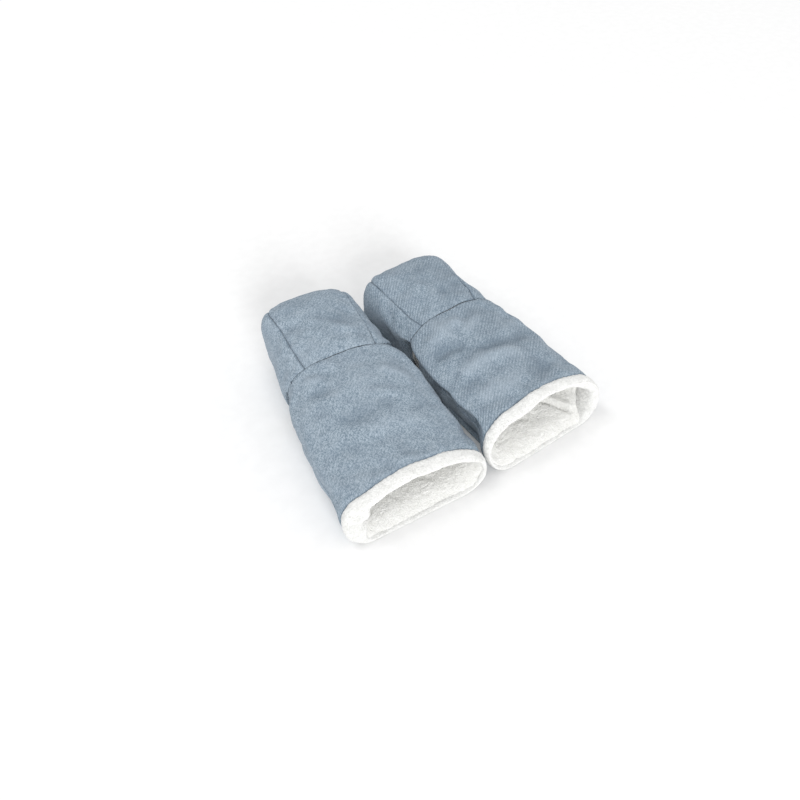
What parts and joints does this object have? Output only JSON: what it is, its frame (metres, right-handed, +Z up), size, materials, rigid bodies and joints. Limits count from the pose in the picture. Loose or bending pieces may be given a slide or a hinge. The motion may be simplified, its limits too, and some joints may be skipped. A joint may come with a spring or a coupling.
{
  "type": "stroller hand muff",
  "caption": "Pair of padded heathered-cloth hand mitts for a pram handlebar, plush lined, each with a plush cuff and a boxed hood that swings up to take the bar.",
  "frame": {"origin": "centre of the pair's outline, on the surface that it rests on", "axes": "+Z up, +Y from the cuffs to the toes, +X across the pair from the left mitt to the right one"},
  "size_m": [0.3503, 0.3039, 0.1],
  "materials": {
    "outer_cloth": "heathered blue-grey melange weave, matt, softly wrinkled over its wadding",
    "plush": "off-white plush with a short clumped pile, very matt",
    "wadding": "white fibre wadding, matt",
    "closure_tape": "dark grey-blue hook-and-loop tape, matt"
  },
  "bodies": {
    "left_sleeve": {"left_sleeve_top_panel": "outer_cloth", "left_sleeve_under_panel": "outer_cloth", "left_sleeve_wadding": "wadding", "left_sleeve_lining": "plush", "left_cuff_roll": "plush", "left_hook_tape": "closure_tape"},
    "left_hood": {"left_hood_panel": "outer_cloth", "left_outer_gusset": "outer_cloth", "left_inner_gusset": "outer_cloth", "left_hood_wadding": "wadding", "left_hood_lining": "plush", "left_loop_tape": "closure_tape"},
    "right_sleeve": {"right_sleeve_top_panel": "outer_cloth", "right_sleeve_under_panel": "outer_cloth", "right_sleeve_wadding": "wadding", "right_sleeve_lining": "plush", "right_cuff_roll": "plush", "right_hook_tape": "closure_tape"},
    "right_hood": {"right_hood_panel": "outer_cloth", "right_outer_gusset": "outer_cloth", "right_inner_gusset": "outer_cloth", "right_hood_wadding": "wadding", "right_hood_lining": "plush", "right_loop_tape": "closure_tape"}
  },
  "joints": [
    {"name": "left_hood_hinge", "type": "hinge", "parent": "left_sleeve", "child": "left_hood", "pos_m": [-0.07691, 0.03856, 0.0856], "axis": [0.9977, -0.068, 0], "range_deg": [0, 60]},
    {"name": "right_mitt_slide", "type": "slide", "parent": "left_sleeve", "child": "right_sleeve", "axis": [1, 0, 0], "range_m": [0, 0.2]},
    {"name": "right_hood_hinge", "type": "hinge", "parent": "right_sleeve", "child": "right_hood", "pos_m": [0.07255, 0.0369, 0.0856], "axis": [0.9952, 0.0976, 0], "range_deg": [0, 60]}
  ]
}
